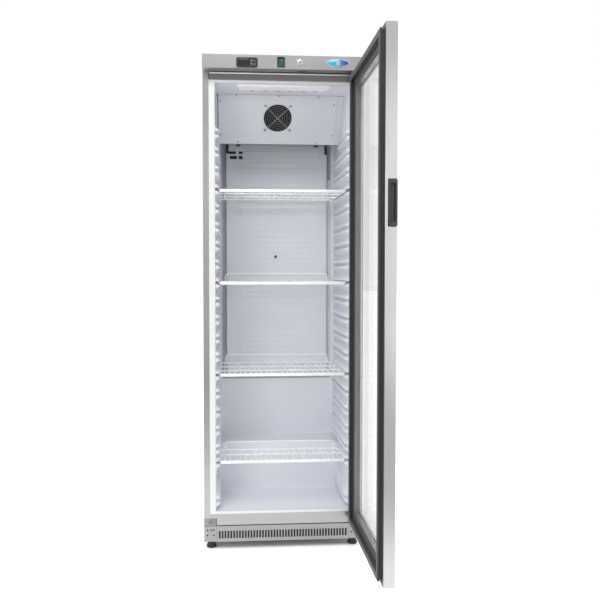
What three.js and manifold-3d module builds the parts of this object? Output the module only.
// Upright single-door display refrigerator, 400-litre class, door standing open at a right angle.
// Millimetres, +Z up. Built in the cabinet's own frame (x across, y back from the plane that the
// door closes on, z up from the floor), then moved so that the origin is at the bottom centre of
// the whole object's box.
import * as THREE from 'three';
import { mergeVertices } from 'three/addons/utils/BufferGeometryUtils.js';
import Module from 'manifold-3d';

const wasm = await Module();
wasm.setup();

// ---------------------------------------------------------------- driving dimensions
const WIDTH = 600;
const HEIGHT = 1850;
const BODY_DEPTH = 549;
const BASE_Z = 31;
const SHEET = 1;
const GAP = 0.3;

// front frame of the cabinet
const RETURN_WIDTH = 22;
const FLANGE_BOTTOM = 137.6;
const FLANGE_TOP = 1769.7;
const PLINTH_TOP = 92;
const RAIL_BOTTOM = 95;
const RECESS_TOP = 121;
const PLATE_INNER_X = 253;

// interior
const CAVITY_HALF = 255.5;
const FLOOR_Z = 148;
const CEILING_Z = 1760;
const BACK_Y = 455;
const STEP_Y = 290;
const STEP_Z = 345;
const LINER_SHEET = 1.5;
const RECESS_HALF = 242;
const RECESS_DEPTH = 18;
const RECESS_BOTTOM_Z = 590;
const RECESS_TOP_Z = 1640;

// machine bay behind the interior's step
const BAY_FRONT_Y = 332;
const BAY_TOP_Z = 303;
const DUCT_TOP_Z = 93;

// header
const HEADER_DEPTH = 51;
const HEADER_BOTTOM = 1799;
const CONTROL_Z = 1824.5;
const CONTROLLER_Z = 1820.8;
const CONTROLLER_X = -136;
const SWITCH_X = -11;
const LOCK_X = 59.4;
const BADGE_X = 199;

// door, in its closed place
const DOOR_HALF = 299;
const DOOR_BOTTOM = 97;
const DOOR_TOP = 1795;
const DOOR_FRONT = -51;
const DOOR_BACK = -15.5;
const PIVOT_X = 276;
const PIVOT_Y = -31;
const STILE = 58;
const GLASS_OVERLAP = 8;
const GASKET_HALF = 278;
const GASKET_WIDTH = 20;
const GASKET_INSET_Z = 12;
const HANDLE_Z = 1261.5;
const HANDLE_HEIGHT = 142;
const HANDLE_DEPTH = 27;
const HANDLE_REACH = 33;
const PIN_RADIUS = 5;

// shelves and their runners
const SHELF_LEVELS = [1366.5, 1016.5, 666.5, 332];
const RUNNER_PITCH = 70;
const RUNNER_TOP_Z = 1576.5;
const RUNNER_ROWS = 18;
const LOW_RUNNER_LEVELS = [332, 187];
const RUNNER_FRONT_Y = 14;
const RUNNER_BACK_Y = 400;
const TOP_RUNNER_BACK_Y = 250;
const RUNNER_STAND = 15;
const SHELF_HALF = 244.5;
const SHELF_FRONT_Y = 24;
const SHELF_BACK_Y = 398;
const LOW_SHELF_BACK_Y = 215;
const SHELF_SLOTS = 24;

// ceiling lamp
const LAMP_X = 5;

// fan and its slanted cover
const FAN_X = -5.5;
const FAN_Y = 228;
const FAN_Z = 1679;
const COVER_TILT = Math.atan2(112, 172);
const COVER_HALF = 238.5;
const COVER_DOWN = 112.7;
const COVER_UP = 95.1;
const FAN_HOLE = 57;

const FOOT_X = 273;
const FOOT_YS = [38.5, 500];

// ---------------------------------------------------------------- geometry helpers
const span = (low, high) => [(low + high) / 2, high - low];

function box(x0, x1, y0, y1, z0, z1) {
  const [cx, sx] = span(x0, x1);
  const [cy, sy] = span(y0, y1);
  const [cz, sz] = span(z0, z1);
  return new THREE.BoxGeometry(sx, sy, sz).translate(cx, cy, cz);
}

const outline = (points) => new THREE.Shape(points.map(([a, b]) => new THREE.Vector2(a, b)));

const rectangle = (a0, a1, b0, b1) => [[a0, b0], [a1, b0], [a1, b1], [a0, b1]];

function roundedRectangle(a0, a1, b0, b1, radius) {
  const shape = new THREE.Shape();
  shape.moveTo(a0 + radius, b0);
  shape.absarc(a1 - radius, b0 + radius, radius, -Math.PI / 2, 0);
  shape.absarc(a1 - radius, b1 - radius, radius, 0, Math.PI / 2);
  shape.absarc(a0 + radius, b1 - radius, radius, Math.PI / 2, Math.PI);
  shape.absarc(a0 + radius, b0 + radius, radius, Math.PI, 1.5 * Math.PI);
  return shape;
}

function circle(a, b, radius) {
  const path = new THREE.Path();
  path.absarc(a, b, radius, 0, 2 * Math.PI);
  return path;
}

function withHoles(shape, holes) {
  shape.holes.push(...holes);
  return shape;
}

const extrude = (shape, depth, curveSegments = 6) =>
  new THREE.ExtrudeGeometry(shape, { depth, bevelEnabled: false, curveSegments });

// A shape drawn in x and z, standing from y0 to y1.
const alongY = (shape, y0, y1, curveSegments) =>
  extrude(shape, y1 - y0, curveSegments).rotateX(Math.PI / 2).translate(0, y1, 0);

// A shape drawn in x and y, standing from z0 to z1.
const alongZ = (shape, z0, z1, curveSegments) =>
  extrude(shape, z1 - z0, curveSegments).translate(0, 0, z0);

// A shape drawn in y and z, standing from x0 to x1.
function alongX(shape, x0, x1, curveSegments) {
  const turn = new THREE.Matrix4().makeBasis(
    new THREE.Vector3(0, 1, 0),
    new THREE.Vector3(0, 0, 1),
    new THREE.Vector3(1, 0, 0),
  );
  return extrude(shape, x1 - x0, curveSegments).applyMatrix4(turn).translate(x0, 0, 0);
}

// A round bar along y, centred on x and z.
const barY = (x, z, radius, y0, y1, sides = 16) =>
  new THREE.CylinderGeometry(radius, radius, y1 - y0, sides).translate(x, (y0 + y1) / 2, z);

// A round bar along z, centred on x and y.
const barZ = (x, y, radius, z0, z1, sides = 16) =>
  new THREE.CylinderGeometry(radius, radius, z1 - z0, sides)
    .rotateX(Math.PI / 2)
    .translate(x, y, (z0 + z1) / 2);

// A rectangular picture frame in x and z, from y0 to y1, given by its outer and inner half widths.
function frameY(outerHalf, outerZ0, outerZ1, innerHalf, innerZ0, innerZ1, y0, y1) {
  const outer = outline(rectangle(-outerHalf, outerHalf, outerZ0, outerZ1));
  const inner = outline(rectangle(-innerHalf, innerHalf, innerZ0, innerZ1));
  return alongY(withHoles(outer, [inner]), y0, y1);
}

function toSolid(geometry) {
  const bare = geometry.clone();
  bare.deleteAttribute('normal');
  bare.deleteAttribute('uv');
  const merged = mergeVertices(bare, 1e-3);
  return new wasm.Manifold(new wasm.Mesh({
    numProp: 3,
    vertProperties: merged.attributes.position.array,
    triVerts: Uint32Array.from(merged.index.array),
  }));
}

function toGeometry(solid) {
  const mesh = solid.getMesh();
  const geometry = new THREE.BufferGeometry();
  geometry.setAttribute('position', new THREE.BufferAttribute(mesh.vertProperties, 3));
  geometry.setIndex(new THREE.BufferAttribute(mesh.triVerts, 1));
  geometry.computeVertexNormals();
  return geometry;
}

const join = (...pieces) =>
  toGeometry(pieces.map(toSolid).reduce((whole, piece) => whole.add(piece)));

const cut = (base, ...tools) =>
  toGeometry(tools.map(toSolid).reduce((rest, tool) => rest.subtract(tool), toSolid(base)));

// ---------------------------------------------------------------- finishes
const finish = (color, roughness, metalness) => () =>
  new THREE.MeshStandardMaterial({ color, roughness, metalness });

const steel = finish(0xb4b4b4, 0.38, 0.9);
const zinc = finish(0x9a9c9e, 0.5, 0.8);
const whitePlastic = finish(0xe8eaf0, 0.45, 0);
const whiteMetal = finish(0xdfe3ea, 0.4, 0.1);
const blackPlastic = finish(0x2a2a2c, 0.5, 0);
const darkPlastic = finish(0x4a4b4d, 0.55, 0);
const greyPlastic = finish(0x8a8b8d, 0.5, 0);
const rubber = finish(0x26272a, 0.8, 0);
const foam = finish(0xe6d9a8, 0.9, 0);
const chrome = finish(0xd8d8d8, 0.12, 1);
const aluminium = finish(0xb8babd, 0.35, 0.9);
const copper = finish(0xb56b3f, 0.35, 0.9);
const blackMetal = finish(0x1c1c1e, 0.5, 0.5);
const glass = finish(0xdfeeea, 0.05, 0);
const greenLens = finish(0x1f8f55, 0.25, 0);
const blueBadge = finish(0x2f8fc8, 0.3, 0);

const cabinet = new THREE.Group();

function add(name, geometry, material, parent = cabinet) {
  const mesh = new THREE.Mesh(geometry, material());
  mesh.name = name;
  parent.add(mesh);
  return mesh;
}

const HALF = WIDTH / 2;
const INNER_HALF = HALF - SHEET - GAP;
const RETURN_X = HALF - RETURN_WIDTH;

// ---------------------------------------------------------------- outer shell
function sidePanel(side) {
  const profile = [
    [HALF, 0],
    [HALF, BODY_DEPTH],
    [HALF - 15, BODY_DEPTH],
    [HALF - 15, BODY_DEPTH - SHEET],
    [HALF - SHEET, BODY_DEPTH - SHEET],
    [HALF - SHEET, 0],
  ];
  const wall = alongZ(outline(profile), BASE_Z, HEIGHT);
  const frontReturn = box(RETURN_X, HALF, 0, SHEET, RECESS_TOP, HEIGHT);
  const panel = join(wall, frontReturn);
  return side > 0 ? panel : mirrorX(panel);
}

// The mirror image in x of a closed geometry, with its faces turned to point out again.
function mirrorX(geometry) {
  const mirrored = geometry.clone().scale(-1, 1, 1);
  const corners = mirrored.index.array;
  for (let i = 0; i < corners.length; i += 3) {
    [corners[i], corners[i + 1]] = [corners[i + 1], corners[i]];
  }
  mirrored.computeVertexNormals();
  return mirrored;
}

function addShell() {
  add('side_panel_left', sidePanel(-1), steel);
  add('side_panel_right', sidePanel(1), steel);
  add('top_panel', box(-INNER_HALF, INNER_HALF, SHEET + GAP, BODY_DEPTH - SHEET - GAP,
    HEIGHT - SHEET, HEIGHT), steel);
  add('rear_panel', box(-HALF + 15 + GAP, HALF - 15 - GAP, BODY_DEPTH - SHEET, BODY_DEPTH,
    BAY_TOP_Z, HEIGHT - SHEET - GAP), zinc);
  const holes = FOOT_YS.flatMap((y) => [-FOOT_X, FOOT_X].map((x) => circle(x, y, 6.5)));
  const pan = outline(rectangle(-INNER_HALF, INNER_HALF, 4, BODY_DEPTH - SHEET - GAP));
  add('base_pan', alongZ(withHoles(pan, holes), BASE_Z, BASE_Z + 1.5), zinc);
  const upperZ = FLANGE_TOP + GAP;
  add('upper_front_rail', box(-RETURN_X + GAP, RETURN_X - GAP, 0, SHEET, upperZ,
    HEIGHT - SHEET - GAP), steel);
  const lowerRail = outline([
    [-PLATE_INNER_X + 1, RAIL_BOTTOM],
    [PLATE_INNER_X - 1, RAIL_BOTTOM],
    [PLATE_INNER_X - 1, RECESS_TOP],
    [RETURN_X - GAP, RECESS_TOP],
    [RETURN_X - GAP, FLANGE_BOTTOM - GAP],
    [-RETURN_X + GAP, FLANGE_BOTTOM - GAP],
    [-RETURN_X + GAP, RECESS_TOP],
    [-PLATE_INNER_X + 1, RECESS_TOP],
  ]);
  add('lower_front_rail', alongY(lowerRail, 0, SHEET), steel);
}

function addPlinth() {
  const slotCount = 45;
  const slotPitch = 10.98;
  const slotWidth = 6.4;
  const slotBottom = 44;
  const slotTop = 72.5;
  const slots = Array.from({ length: slotCount }, (_, i) => {
    const x = (i - (slotCount - 1) / 2) * slotPitch;
    return box(x - slotWidth / 2, x + slotWidth / 2, -1, 3, slotBottom, slotTop);
  });
  const face = box(-PLATE_INNER_X + GAP, PLATE_INNER_X - GAP, 0, 1.2, BASE_Z, PLINTH_TOP - GAP);
  add('plinth_grille', cut(face, ...slots), steel);
}

// The plate behind each lower corner, with the hole pattern that takes a hinge arm on either side.
function cornerPlate(side) {
  const middle = side * (PLATE_INNER_X + HALF - SHEET) / 2;
  const half = (HALF - SHEET - GAP - PLATE_INNER_X) / 2;
  const places = [[263.7, 57], [287.4, 57], [263.7, 77], [287.4, 77], [273.8, 76]];
  const holes = places.map(([x, z]) => circle(side * x, z, 3.2));
  const face = outline(rectangle(middle - half, middle + half, BASE_Z + 1.8, PLINTH_TOP - GAP));
  return alongY(withHoles(face, holes), 0, 3, 3);
}

function addHinges() {
  add('hinge_plate_left', cornerPlate(-1), steel);
  const armZ = PLINTH_TOP - 6;
  const arm = outline([
    [PLATE_INNER_X + 4, 1],
    [PLATE_INNER_X + 4, PIVOT_Y + 4],
    [PIVOT_X - 12, PIVOT_Y - 13],
    [PIVOT_X + 13, PIVOT_Y - 13],
    [HALF - 3, PIVOT_Y + 2],
    [HALF - 3, 1],
  ].reverse());
  add('lower_hinge_bracket', join(
    cornerPlate(1),
    alongZ(arm, armZ, PLINTH_TOP - GAP),
    barZ(PIVOT_X, PIVOT_Y, PIN_RADIUS, armZ + 1, DOOR_BOTTOM + 14),
  ), steel);
  const plate = outline([
    [PIVOT_X - 24, -1.5],
    [PIVOT_X - 24, PIVOT_Y - 6],
    [PIVOT_X - 12, PIVOT_Y - 13],
    [PIVOT_X + 13, PIVOT_Y - 13],
    [HALF - 3, PIVOT_Y],
    [HALF - 3, -1.5],
  ].reverse());
  add('upper_hinge_plate', join(
    alongZ(plate, HEADER_BOTTOM - GAP - 2.4, HEADER_BOTTOM - GAP),
    barZ(PIVOT_X, PIVOT_Y, PIN_RADIUS, DOOR_TOP - 14, HEADER_BOTTOM - GAP - 1),
  ), zinc);
}

// ---------------------------------------------------------------- insulation and liner
const sideOutline = (grow) => outline([
  [-grow.front, FLOOR_Z - grow.all],
  [STEP_Y + grow.all, FLOOR_Z - grow.all],
  [STEP_Y + grow.all, STEP_Z - grow.all],
  [BACK_Y + grow.all, STEP_Z - grow.all],
  [BACK_Y + grow.all, CEILING_Z + grow.all],
  [-grow.front, CEILING_Z + grow.all],
]);

function recessBox(grow, y0) {
  return box(-RECESS_HALF - grow, RECESS_HALF + grow, y0, BACK_Y + RECESS_DEPTH + grow,
    RECESS_BOTTOM_Z - grow, RECESS_TOP_Z + grow);
}

function runnerLevels() {
  const regular = Array.from({ length: RUNNER_ROWS }, (_, i) => RUNNER_TOP_Z - i * RUNNER_PITCH);
  return [...regular, ...LOW_RUNNER_LEVELS];
}

// One level's runner: an upper and a lower rib with the groove for the shelf's side wire between.
function runner(side, z) {
  const root = side * (CAVITY_HALF + LINER_SHEET / 2);
  const tip = side * (CAVITY_HALF - RUNNER_STAND);
  const top = z === RUNNER_TOP_Z ? TOP_RUNNER_BACK_Y : RUNNER_BACK_Y;
  const backY = z < STEP_Z + 20 ? STEP_Y - 5 : top;
  return [[5, 17], [-18, -5]].map(([low, high]) => {
    const rib = [[root, z + low - 2], [tip, z + low], [tip, z + high], [root, z + high + 2]];
    return alongY(outline(side > 0 ? rib.reverse() : rib), RUNNER_FRONT_Y, backY);
  });
}

function addLiner() {
  const skin = LINER_SHEET;
  const half = CAVITY_HALF + skin;
  const shell = alongX(sideOutline({ front: 0, all: skin }), -half, half);
  const cavity = alongX(sideOutline({ front: 5, all: 0 }), -CAVITY_HALF, CAVITY_HALF);
  const flange = box(-RETURN_X + GAP, RETURN_X - GAP, 0, skin, FLANGE_BOTTOM, FLANGE_TOP);
  const outside = join(shell, recessBox(skin, BACK_Y - 1), flange);
  const hollow = cut(outside, cavity, recessBox(0, BACK_Y - 5));
  const ribs = runnerLevels().flatMap((z) => [...runner(-1, z), ...runner(1, z)]);
  add('liner', join(hollow, ...ribs), whitePlastic);
}

function addFoam() {
  const clear = LINER_SHEET + GAP;
  const half = CAVITY_HALF + clear;
  const backY = BODY_DEPTH - SHEET - GAP;
  const block = box(-INNER_HALF, INNER_HALF, LINER_SHEET + GAP, backY, DUCT_TOP_Z,
    HEIGHT - SHEET - GAP);
  const cavity = alongX(sideOutline({ front: 5, all: clear }), -half, half);
  const bay = box(-HALF, HALF, BAY_FRONT_Y, BODY_DEPTH, DUCT_TOP_Z - 5, BAY_TOP_Z);
  add('foam_body', cut(block, cavity, recessBox(clear, BACK_Y - 5), bay), foam);
}

// ---------------------------------------------------------------- interior fittings
function addLamp() {
  const frontY = 20;
  const rearY = 86;
  const frontHalf = 177;
  const rearHalf = 166;
  const depth = 7;
  const wall = 2;
  const lens = outline([
    [LAMP_X - frontHalf, frontY],
    [LAMP_X + frontHalf, frontY],
    [LAMP_X + rearHalf, rearY],
    [LAMP_X - rearHalf, rearY],
  ]);
  const hollowHalf = rearHalf - 8;
  add('lamp_cover', cut(
    alongZ(lens, CEILING_Z - depth, CEILING_Z - GAP),
    box(LAMP_X - hollowHalf, LAMP_X + hollowHalf, frontY + 6, rearY - 6,
      CEILING_Z - depth + wall, CEILING_Z + 1),
  ), whitePlastic);
  add('led_strip', box(LAMP_X - 150, LAMP_X + 150, 43, 63, CEILING_Z - 3.4, CEILING_Z - GAP),
    aluminium);
}

function addFan() {
  const unit = new THREE.Group();
  unit.position.set(FAN_X, FAN_Y, FAN_Z);
  unit.rotation.x = COVER_TILT;
  cabinet.add(unit);
  const lip = 20;
  const cover = join(
    box(-COVER_HALF, COVER_HALF, 0, 1.2, -COVER_DOWN, COVER_UP),
    box(-COVER_HALF, -COVER_HALF + 1.2, 0, lip, -COVER_DOWN, COVER_UP - 13),
    box(COVER_HALF - 1.2, COVER_HALF, 0, lip, -COVER_DOWN, COVER_UP - 13),
  );
  add('fan_cover', cut(cover, barY(0, 0, FAN_HOLE, -5, 5, 32)), whiteMetal, unit);

  const frameHalf = 59.5;
  const ringHole = 57;
  const square = outline(rectangle(-frameHalf, frameHalf, -frameHalf, frameHalf));
  const strut = box(-ringHole - 1, ringHole + 1, 23, 26, -3, 3);
  const frame = join(
    alongY(withHoles(square, [circle(0, 0, ringHole)]), 1.6, 26, 16),
    strut,
    strut.clone().rotateY(Math.PI / 2),
    barY(0, 0, 21, 21, 26, 16),
  );
  add('fan_frame', frame, blackPlastic, unit);

  const blades = Array.from({ length: 7 }, (_, i) =>
    box(16, 53, -0.8, 0.8, -12, 12).rotateX(0.55).rotateY((i * 2 * Math.PI) / 7)
      .translate(0, 12, 0));
  add('fan_rotor', join(barY(0, 0, 20, 4, 20, 20), ...blades), blackPlastic, unit);

  const guardY = [-2.4, -GAP];
  const ring = (radius) => {
    const rim = new THREE.Shape();
    rim.absarc(0, 0, radius, 0, 2 * Math.PI);
    return alongY(withHoles(rim, [circle(0, 0, radius - 2.5)]), ...guardY, 8);
  };
  const arm = box(-74, 74, ...guardY, -1.5, 1.5);
  add('fan_guard', join(
    ring(56),
    ring(32),
    arm.clone().rotateY(Math.PI / 4),
    arm.clone().rotateY(-Math.PI / 4),
    barY(0, 0, 11, ...guardY, 12),
  ), chrome, unit);
}

function addEvaporator() {
  const plateY = [BACK_Y - 4, BACK_Y - 2];
  const plate = box(-214.5, 224, ...plateY, 612, 1612);
  const posts = [-190, 190].flatMap((x) => [660, 1112, 1565].map((z) =>
    barY(x, z, 6, plateY[1] - 0.5, BACK_Y + RECESS_DEPTH - GAP, 8)));
  add('evaporator_plate', join(plate, ...posts), whiteMetal);
  add('air_probe', barY(0, 1124, 4, plateY[0] - 7, plateY[0] - GAP, 12), greyPlastic);
}

function addShelves() {
  SHELF_LEVELS.forEach((z, index) => {
    const backY = index === SHELF_LEVELS.length - 1 ? LOW_SHELF_BACK_Y : SHELF_BACK_Y;
    const rim = 5;
    const inner = SHELF_HALF - rim;
    const pitch = (2 * inner) / SHELF_SLOTS;
    const slots = Array.from({ length: SHELF_SLOTS }, (_, i) => {
      const x = -inner + i * pitch;
      return box(x + 1.5, x + pitch - 1.5, SHELF_FRONT_Y + rim, backY - rim, z - 9, z + 9);
    });
    const plate = box(-SHELF_HALF, SHELF_HALF, SHELF_FRONT_Y, backY, z - 2, z + 2);
    const loopHalf = 221;
    const stop = outline(rectangle(-loopHalf, loopHalf, z, z + 35));
    const gap = outline(rectangle(-loopHalf + 4, loopHalf - 4, z + 1, z + 31));
    add(`shelf_${index + 1}`, join(
      cut(plate, ...slots),
      alongY(withHoles(stop, [gap]), backY - 4, backY),
    ), whiteMetal);
  });
}

// ---------------------------------------------------------------- header and its controls
function addHeader() {
  const wall = 1;
  const outer = box(-HALF, HALF, -HEADER_DEPTH, -GAP, HEADER_BOTTOM, HEIGHT);
  const inner = box(-HALF + wall, HALF - wall, -HEADER_DEPTH + wall, 1, HEADER_BOTTOM + wall,
    HEIGHT - wall);
  add('header_panel', cut(
    outer,
    inner,
    box(CONTROLLER_X - 35.5, CONTROLLER_X + 35.5, -60, -45, CONTROLLER_Z - 14.5,
      CONTROLLER_Z + 14.5),
    box(SWITCH_X - 12.5, SWITCH_X + 12.5, -60, -45, CONTROL_Z - 18, CONTROL_Z + 18),
    barY(LOCK_X, CONTROL_Z, 9.5, -60, -45),
    box(LOCK_X - 8, LOCK_X + 30, -27, -18, HEADER_BOTTOM - 3, HEADER_BOTTOM + 3),
  ), steel);
}

function addController() {
  const face = -HEADER_DEPTH - 3;
  const bezel = alongY(
    roundedRectangle(CONTROLLER_X - 39, CONTROLLER_X + 39, CONTROLLER_Z - 18, CONTROLLER_Z + 18, 7),
    face, -HEADER_DEPTH - GAP, 4);
  const body = box(CONTROLLER_X - 35, CONTROLLER_X + 35, -HEADER_DEPTH - 1, -10, CONTROLLER_Z - 14,
    CONTROLLER_Z + 14);
  const windowBox = (grow, depth) => box(CONTROLLER_X - 33 - grow, CONTROLLER_X + 8 + grow,
    face - (grow ? 1 : 0), face + depth, CONTROLLER_Z - 12 - grow, CONTROLLER_Z + 12 + grow);
  const buttonPlaces = [[17, 6], [28, 6], [17, -6], [28, -6]];
  const pockets = buttonPlaces.map(([x, z]) => box(CONTROLLER_X + x - 4, CONTROLLER_X + x + 4,
    face - 1, face + 5, CONTROLLER_Z + z - 4, CONTROLLER_Z + z + 4));
  add('controller_body', cut(join(bezel, body), windowBox(GAP, 1.5), ...pockets), blackPlastic);
  add('controller_window', windowBox(0, 1.2), glass);
  buttonPlaces.forEach(([x, z], index) => {
    const half = 3.6;
    add(`controller_button_${index + 1}`, box(CONTROLLER_X + x - half, CONTROLLER_X + x + half,
      face - 0.8, face + 3.4, CONTROLLER_Z + z - half, CONTROLLER_Z + z + half), darkPlastic);
  });
}

function addSwitch() {
  const face = -HEADER_DEPTH - 2;
  const bezel = join(
    box(SWITCH_X - 14.5, SWITCH_X + 14.5, face, -HEADER_DEPTH - GAP, CONTROL_Z - 19.5,
      CONTROL_Z + 19.5),
    box(SWITCH_X - 12, SWITCH_X + 12, face, -30, CONTROL_Z - 17.3, CONTROL_Z + 17.3),
  );
  const pocket = box(SWITCH_X - 9.5, SWITCH_X + 9.5, face - 1, -37, CONTROL_Z - 15.5,
    CONTROL_Z + 15.5);
  add('switch_bezel', cut(bezel, pocket), blackPlastic);
  const pivot = new THREE.Group();
  pivot.position.set(SWITCH_X, -45, CONTROL_Z);
  pivot.rotation.x = THREE.MathUtils.degToRad(10);
  cabinet.add(pivot);
  const rocker = outline([
    [-7.2, 0], [-9.5, -13], [-2, -13], [4, -8], [4, 8], [-2, 13], [-9.5, 13],
  ]);
  add('switch_rocker', alongX(rocker, -9, 9), greenLens, pivot);
}

function addLock() {
  const face = -HEADER_DEPTH - 3;
  const body = join(
    barY(LOCK_X, CONTROL_Z, 12, face, -HEADER_DEPTH - GAP, 20),
    barY(LOCK_X, CONTROL_Z, 9, face, -28, 20),
  );
  add('lock_body', cut(body, barY(LOCK_X, CONTROL_Z, 6.6, face - 1, -27, 24)), chrome);
  const cam = outline([[-5, 5], [-5, -5], [33, -4], [33, 4]]);
  const barrel = join(
    barY(0, 0, 6.2, face - 0.5, -23, 24),
    alongY(cam, -25, -21),
  ).translate(LOCK_X, 0, CONTROL_Z);
  const keyway = box(LOCK_X - 3.2, LOCK_X + 3.2, face - 2, face + 4, CONTROL_Z - 0.6,
    CONTROL_Z + 0.6);
  add('lock_barrel', cut(barrel, keyway), chrome);
}

function addBadge() {
  const plate = roundedRectangle(BADGE_X - 42, BADGE_X + 42, CONTROL_Z - 15, CONTROL_Z + 15, 6);
  add('badge_plate', alongY(plate, -HEADER_DEPTH - 1.5, -HEADER_DEPTH - GAP, 3), blueBadge);
}

// ---------------------------------------------------------------- machine bay
function addMachineBay() {
  const deck = BASE_Z + 1.5 + GAP;
  const canRadius = 72;
  const canX = 150;
  const canY = 440;
  const canProfile = [
    [0, 0], [canRadius * 0.8, 0], [canRadius, 18], [canRadius, 110], [canRadius * 0.93, 135],
    [canRadius * 0.6, 156], [0, 162],
  ].map(([r, z]) => new THREE.Vector2(r, z));
  const can = new THREE.LatheGeometry(canProfile, 20).rotateX(Math.PI / 2)
    .translate(canX, canY, deck + 14);
  const skid = box(canX - 95, canX + 95, canY - 60, canY + 60, deck, deck + 16);
  add('compressor', join(can, skid), blackMetal);

  const trayZ = deck + 14 + 162 + 6;
  add('evaporation_tray', cut(
    box(canX - 90, canX + 90, canY - 65, canY + 65, trayZ, trayZ + 40),
    box(canX - 88, canX + 88, canY - 63, canY + 63, trayZ + 2, trayZ + 45),
  ), greyPlastic);

  const finX = [-250, -20];
  const finY = [360, 430];
  const block = box(...finX, ...finY, deck + 10, deck + 200);
  const finSlots = Array.from({ length: 11 }, (_, i) => {
    const x = finX[0] + 14 + i * 19;
    return box(x, x + 9, finY[0] - 1, finY[1] - 6, deck + 16, deck + 194);
  });
  const rails = [finX[0] + 5, finX[1] - 13].map((x) =>
    box(x, x + 8, finY[0], finY[1], deck, deck + 12));
  add('condenser', join(cut(block, ...finSlots), ...rails), aluminium);

  const route = new THREE.CatmullRomCurve3([
    new THREE.Vector3(canX - canRadius - 4, canY, deck + 90),
    new THREE.Vector3(canX - canRadius - 35, canY + 8, deck + 92),
    new THREE.Vector3(canX - canRadius - 48, canY + 10, deck + 150),
    new THREE.Vector3(canX - canRadius - 62, canY + 6, deck + 205),
    new THREE.Vector3(-30, 436, deck + 212),
    new THREE.Vector3(-60, 436, deck + 180),
  ]);
  const bore = new THREE.Shape();
  bore.absarc(0, 0, 3.2, 0, 2 * Math.PI);
  add('refrigerant_pipe', new THREE.ExtrudeGeometry(bore, {
    steps: 16, curveSegments: 4, bevelEnabled: false, extrudePath: route,
  }), copper);

  add('electrical_box', box(-262, -150, 452, 520, deck + 20, deck + 110), greyPlastic);

  const glandX = -120;
  const glandZ = deck + 60;
  const slots = Array.from({ length: 14 }, (_, i) => {
    const x = -247.5 + i * 38;
    return box(x, x + 20, BODY_DEPTH - 5, BODY_DEPTH + 5, 190, 285);
  });
  const cover = box(-HALF + 15 + GAP, HALF - 15 - GAP, BODY_DEPTH - SHEET, BODY_DEPTH, deck,
    BAY_TOP_Z - GAP);
  const cordHole = barY(glandX, glandZ, 9, BODY_DEPTH - 5, BODY_DEPTH + 5);
  add('rear_cover', cut(cover, ...slots, cordHole), zinc);
  add('cord_gland', join(
    barY(glandX, glandZ, 8.5, BODY_DEPTH - 14, BODY_DEPTH + GAP + 0.5),
    barY(glandX, glandZ, 12, BODY_DEPTH - 12, BODY_DEPTH - SHEET - GAP),
  ), blackPlastic);
}

function addFeet() {
  const profile = [[0, 0], [17, 0], [19, 2], [19, 9], [8, 12], [5.5, 14], [5.5, 60], [0, 60]];
  FOOT_YS.forEach((y, row) => {
    [-FOOT_X, FOOT_X].forEach((x, column) => {
      const foot = new THREE.LatheGeometry(profile.map(([r, z]) => new THREE.Vector2(r, z)), 14)
        .rotateX(Math.PI / 2);
      const mesh = add(`foot_${['front', 'rear'][row]}_${['left', 'right'][column]}`, foot,
        blackPlastic);
      mesh.position.set(x, y, 0);
    });
  });
}

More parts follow.
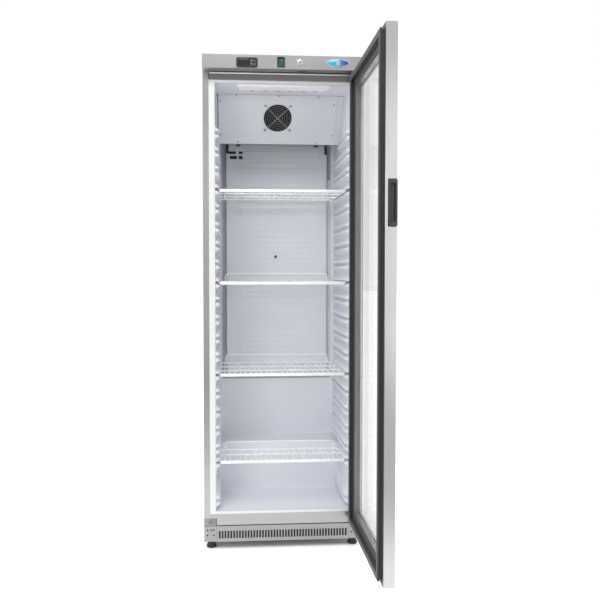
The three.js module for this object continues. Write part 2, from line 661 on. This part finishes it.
// ---------------------------------------------------------------- door
function addDoor() {
  const hinge = new THREE.Group();
  hinge.position.set(PIVOT_X, PIVOT_Y, 0);
  hinge.rotation.z = Math.PI / 2;
  cabinet.add(hinge);
  const leaf = new THREE.Group();
  leaf.position.set(-PIVOT_X, -PIVOT_Y, 0);
  hinge.add(leaf);

  const openHalf = DOOR_HALF - STILE;
  const openZ0 = DOOR_BOTTOM + STILE;
  const openZ1 = DOOR_TOP - STILE;
  const skin = 1;
  const handleZ0 = HANDLE_Z - HANDLE_HEIGHT / 2;
  const handleZ1 = HANDLE_Z + HANDLE_HEIGHT / 2;
  const handlePocket = (grow) => box(-DOOR_HALF - 5, -DOOR_HALF + HANDLE_REACH + grow,
    DOOR_FRONT - 5, DOOR_FRONT + HANDLE_DEPTH + grow, handleZ0 - grow, handleZ1 + grow);
  const pinHoles = (radius) => [
    barZ(PIVOT_X, PIVOT_Y, radius, DOOR_BOTTOM - 1, DOOR_BOTTOM + 20),
    barZ(PIVOT_X, PIVOT_Y, radius, DOOR_TOP - 20, DOOR_TOP + 1),
  ];
  const lockSlot = box(LOCK_X - 9, LOCK_X + 24, -28, -17, DOOR_TOP - 9, DOOR_TOP + 1);

  const skinOuter = frameY(DOOR_HALF, DOOR_BOTTOM, DOOR_TOP, openHalf, openZ0, openZ1,
    DOOR_FRONT, DOOR_BACK);
  const skinInner = box(-DOOR_HALF + skin, DOOR_HALF - skin, DOOR_FRONT + skin, DOOR_BACK + 1,
    DOOR_BOTTOM + skin, DOOR_TOP - skin);
  add('door_skin', cut(skinOuter, skinInner, handlePocket(0), ...pinHoles(6), lockSlot), steel, leaf);

  const glassY = DOOR_FRONT + skin + GAP;
  const paneHalf = openHalf + GLASS_OVERLAP;
  const paneZ0 = openZ0 - GLASS_OVERLAP;
  const paneZ1 = openZ1 + GLASS_OVERLAP;
  const pane = 3;
  const spacerDepth = 6;
  const innerPaneY = glassY + pane + GAP + spacerDepth + GAP;
  const paneBox = (y) => box(-paneHalf, paneHalf, y, y + pane, paneZ0, paneZ1);
  add('outer_pane', paneBox(glassY), glass, leaf);
  add('inner_pane', paneBox(innerPaneY), glass, leaf);
  const spacerWidth = 12;
  add('glass_spacer', frameY(paneHalf - 2, paneZ0 + 2, paneZ1 - 2, paneHalf - spacerWidth,
    paneZ0 + spacerWidth, paneZ1 - spacerWidth, glassY + pane + GAP,
    glassY + pane + GAP + spacerDepth), aluminium, leaf);

  const frameFront = DOOR_BACK - 6;
  const coreOuter = DOOR_HALF - skin - GAP;
  const coreZ0 = DOOR_BOTTOM + skin + GAP;
  const coreZ1 = DOOR_TOP - skin - GAP;
  const bushPockets = pinHoles(9 + GAP);
  const core = frameY(coreOuter, coreZ0, coreZ1, paneHalf + GAP, paneZ0 - GAP, paneZ1 + GAP,
    glassY, frameFront - GAP);
  add('door_core', cut(core, handlePocket(GAP), ...bushPockets, lockSlot), foam, leaf);

  const bush = (z0, z1) => cut(barZ(PIVOT_X, PIVOT_Y, 9, z0, z1),
    barZ(PIVOT_X, PIVOT_Y, PIN_RADIUS + 0.4, z0 - 1, z1 + 1));
  add('door_bush_lower', bush(coreZ0, DOOR_BOTTOM + 19), blackPlastic, leaf);
  add('door_bush_upper', bush(DOOR_TOP - 19, coreZ1), blackPlastic, leaf);

  const beadHalf = openHalf + 3;
  const faceHalf = beadHalf + GAP;
  const innerFrame = frameY(coreOuter, coreZ0, coreZ1, faceHalf, openZ0 - 3 - GAP,
    openZ1 + 3 + GAP, frameFront, DOOR_BACK);
  add('door_inner_frame', cut(innerFrame, lockSlot), darkPlastic, leaf);
  add('glazing_bead', frameY(beadHalf, openZ0 - 3, openZ1 + 3, openHalf, openZ0, openZ1,
    innerPaneY + pane + GAP, DOOR_BACK - 4), greyPlastic, leaf);
  const gasketZ0 = DOOR_BOTTOM + GASKET_INSET_Z;
  const gasketZ1 = DOOR_TOP - GASKET_INSET_Z;
  add('door_gasket', frameY(GASKET_HALF, gasketZ0, gasketZ1, GASKET_HALF - GASKET_WIDTH,
    gasketZ0 + GASKET_WIDTH, gasketZ1 - GASKET_WIDTH, DOOR_BACK + GAP, -0.4), rubber, leaf);

  const grip = box(-DOOR_HALF - 1.5, -DOOR_HALF + HANDLE_REACH - GAP, DOOR_FRONT - 1.5,
    DOOR_FRONT + HANDLE_DEPTH - GAP, handleZ0 + GAP, handleZ1 - GAP);
  const fingers = box(-DOOR_HALF - 5, -DOOR_HALF + 22, DOOR_FRONT + 6, DOOR_FRONT + 21,
    handleZ0 + 12, handleZ1 - 12);
  add('door_handle', cut(grip, fingers), blackPlastic, leaf);
}

addShell();
addPlinth();
addHinges();
addLiner();
addFoam();
addLamp();
addFan();
addEvaporator();
addShelves();
addHeader();
addController();
addSwitch();
addLock();
addBadge();
addMachineBay();
addFeet();
addDoor();

// The open door's free edge and the cabinet's back bound the object front to back.
const FRONT_Y = PIVOT_Y - (PIVOT_X + DOOR_HALF) - 1.5;
const REAR_Y = BODY_DEPTH + GAP + 0.5;
cabinet.position.set(0, -(FRONT_Y + REAR_Y) / 2, 0);

const refrigerator = new THREE.Group();
refrigerator.add(cabinet);

export default refrigerator;
